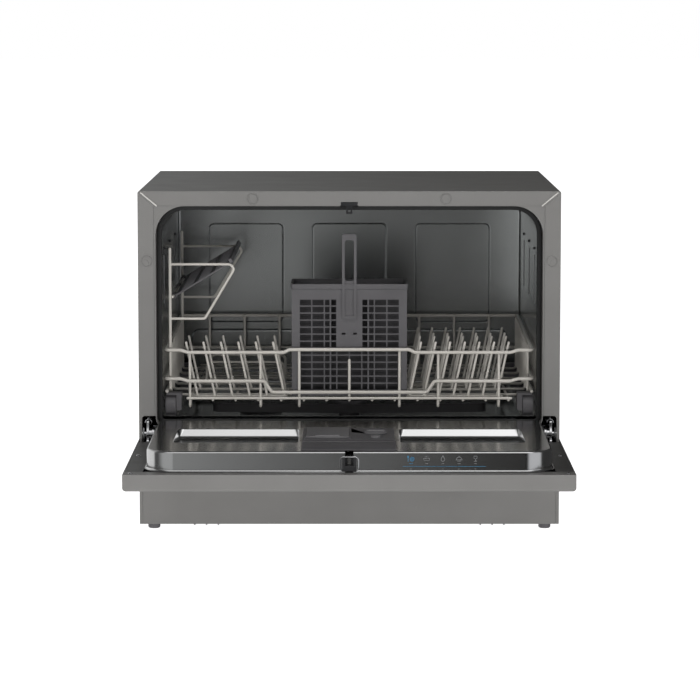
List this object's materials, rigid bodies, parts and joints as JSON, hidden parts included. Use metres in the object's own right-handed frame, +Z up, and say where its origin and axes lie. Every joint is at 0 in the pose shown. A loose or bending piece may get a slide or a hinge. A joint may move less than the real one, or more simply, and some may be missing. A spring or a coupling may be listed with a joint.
{
  "type": "countertop dishwasher",
  "caption": "Countertop dishwasher with a drop-down door, a wire rack on rollers, cutlery basket, fold-up cup shelf, spray arm and wash pump.",
  "frame": {"origin": "centre of the box around the dishwasher with its door lowered, on the floor under its feet", "axes": "+Z up, -Y towards the person at the door, +X to that person's right"},
  "size_m": [0.55, 0.805, 0.444],
  "materials": {
    "painted_shell": "grey powder paint, fine orange peel",
    "stainless": "brushed, satin",
    "bright_steel": "bright, lightly polished",
    "black_rubber": "matte",
    "black_plastic": "semi-gloss",
    "dark_plastic": "fine grain",
    "coated_wire": "dipped coating, satin",
    "pale_plastic": "satin",
    "board_green": "matte"
  },
  "bodies": {
    "cabinet": {"casing": "painted_shell", "front_frame": "painted_shell", "back_panel": "painted_shell", "base_tray": "dark_plastic", "plinth": "painted_shell", "levelling_feet": "dark_plastic", "casing_screws": "bright_steel", "tub": "stainless", "tub_gasket": "black_rubber", "latch_striker": "black_plastic", "hinge_bracket_left": "bright_steel", "hinge_bracket_right": "bright_steel", "hinge_pins": "bright_steel", "balance_springs": "bright_steel", "sump": "dark_plastic", "spray_hub": "dark_plastic", "flat_filter": "stainless", "softener": "dark_plastic", "circulation_pump": "dark_plastic", "heater": "stainless", "drain_pump": "dark_plastic", "drain_outlet": "dark_plastic", "inlet_valve": "dark_plastic", "hoses": "dark_plastic", "water_chamber": "pale_plastic", "power_gland": "black_plastic"},
    "door": {"door_panel": "painted_shell", "door_liner": "stainless", "door_arm_left": "bright_steel", "door_arm_right": "bright_steel", "control_panel": "black_plastic", "control_board": "board_green", "latch_housing": "black_plastic", "dispenser_body": "dark_plastic"},
    "rack": {"rack_front": "coated_wire", "rack_rear": "coated_wire", "rack_sides": "coated_wire", "rack_floor": "coated_wire", "left_tines": "coated_wire", "right_tines": "coated_wire", "roller_brackets": "dark_plastic", "cup_frame": "coated_wire"},
    "spray_arm": {"spray_arm": "dark_plastic"},
    "filter_cup": {"filter_cup": "dark_plastic"},
    "salt_cap": {"salt_cap": "dark_plastic"},
    "pump_impeller": {"pump_impeller": "pale_plastic"},
    "leak_float": {"leak_float": "pale_plastic"},
    "power_button": {"power_button": "pale_plastic"},
    "program_button": {"program_button": "pale_plastic"},
    "start_button": {"start_button": "pale_plastic"},
    "latch_claw": {"latch_claw": "bright_steel"},
    "detergent_lid": {"detergent_lid": "dark_plastic"},
    "lid_catch": {"lid_catch": "dark_plastic"},
    "rinse_cap": {"rinse_cap": "dark_plastic"},
    "roller_front_left": {"roller_front_left": "dark_plastic"},
    "roller_front_right": {"roller_front_right": "dark_plastic"},
    "roller_rear_left": {"roller_rear_left": "dark_plastic"},
    "roller_rear_right": {"roller_rear_right": "dark_plastic"},
    "cup_shelf": {"cup_shelf": "dark_plastic"},
    "cutlery_basket": {"cutlery_basket": "dark_plastic"}
  },
  "joints": [
    {"name": "door_hinge", "type": "hinge", "parent": "cabinet", "child": "door", "pos_m": [0, -0.0865, 0.126], "axis": [1, 0, 0], "range_deg": [-90, 0], "deforming": ["balance_springs"]},
    {"name": "rack_slide", "type": "slide", "parent": "cabinet", "child": "rack", "axis": [0, -1, 0], "range_m": [0, 0.3]},
    {"name": "roller_front_left_spin", "type": "hinge", "parent": "rack", "child": "roller_front_left", "pos_m": [-0.236, -0.0356, 0.15825], "axis": [1, 0, 0], "range_deg": [0, 1400]},
    {"name": "roller_rear_left_spin", "type": "hinge", "parent": "rack", "child": "roller_rear_left", "pos_m": [-0.236, 0.2954, 0.15825], "axis": [1, 0, 0], "range_deg": [0, 1400]},
    {"name": "roller_front_right_spin", "type": "hinge", "parent": "rack", "child": "roller_front_right", "pos_m": [0.236, -0.0356, 0.15825], "axis": [1, 0, 0], "range_deg": [0, 1400]},
    {"name": "roller_rear_right_spin", "type": "hinge", "parent": "rack", "child": "roller_rear_right", "pos_m": [0.236, 0.2954, 0.15825], "axis": [1, 0, 0], "range_deg": [0, 1400]},
    {"name": "basket_lift", "type": "slide", "parent": "rack", "child": "cutlery_basket", "axis": [0, 0, 1], "range_m": [0, 0.025]},
    {"name": "cup_shelf_fold", "type": "hinge", "parent": "rack", "child": "cup_shelf", "pos_m": [-0.23285, 0.1114, 0.3006], "axis": [0, -1, 0], "range_deg": [0, 47]},
    {"name": "spray_arm_spin", "type": "hinge", "parent": "cabinet", "child": "spray_arm", "pos_m": [0, 0.1345, 0.127], "axis": [0, 0, 1], "continuous": true},
    {"name": "filter_turn", "type": "hinge", "parent": "cabinet", "child": "filter_cup", "pos_m": [0, 0.0625, 0.11315], "axis": [0, 0, 1], "range_deg": [0, 45]},
    {"name": "salt_cap_turn", "type": "hinge", "parent": "cabinet", "child": "salt_cap", "pos_m": [-0.125, 0.2445, 0.11315], "axis": [0, 0, 1], "range_deg": [0, 360]},
    {"name": "impeller_spin", "type": "hinge", "parent": "cabinet", "child": "pump_impeller", "pos_m": [-0.088, 0.0625, 0.062], "axis": [1, 0, 0], "continuous": true},
    {"name": "leak_float_lift", "type": "slide", "parent": "cabinet", "child": "leak_float", "axis": [0, 0, 1], "range_m": [0, 0.006]},
    {"name": "power_button_press", "type": "slide", "parent": "door", "child": "power_button", "axis": [0, 0, 1], "range_m": [0, 0.0015], "stiffness_N_per_m": 300, "springref_m": -0.001},
    {"name": "program_button_press", "type": "slide", "parent": "door", "child": "program_button", "axis": [0, 0, 1], "range_m": [0, 0.0015], "stiffness_N_per_m": 300, "springref_m": -0.001},
    {"name": "start_button_press", "type": "slide", "parent": "door", "child": "start_button", "axis": [0, 0, 1], "range_m": [0, 0.0015], "stiffness_N_per_m": 300, "springref_m": -0.001},
    {"name": "latch_claw_swing", "type": "hinge", "parent": "door", "child": "latch_claw", "pos_m": [0, -0.366, 0.133], "axis": [1, 0, 0], "range_deg": [0, 35], "stiffness_Nm_per_rad": 0.02, "springref_deg": -11.46},
    {"name": "detergent_lid_slide", "type": "slide", "parent": "door", "child": "detergent_lid", "axis": [0, -1, 0], "range_m": [0, 0.055]},
    {"name": "lid_catch_press", "type": "slide", "parent": "door", "child": "lid_catch", "axis": [0, 0, -1], "range_m": [0, 0.002], "stiffness_N_per_m": 300, "springref_m": -0.001},
    {"name": "rinse_cap_turn", "type": "hinge", "parent": "door", "child": "rinse_cap", "pos_m": [0.033, -0.2365, 0.1456], "axis": [0, 0, 1], "range_deg": [0, 90]}
  ],
  "couplings": [
    {"joint": "roller_front_left_spin", "follows": "rack_slide", "rad_per_m": 80},
    {"joint": "roller_rear_left_spin", "follows": "rack_slide", "rad_per_m": 80},
    {"joint": "roller_front_right_spin", "follows": "rack_slide", "rad_per_m": 80},
    {"joint": "roller_rear_right_spin", "follows": "rack_slide", "rad_per_m": 80}
  ]
}
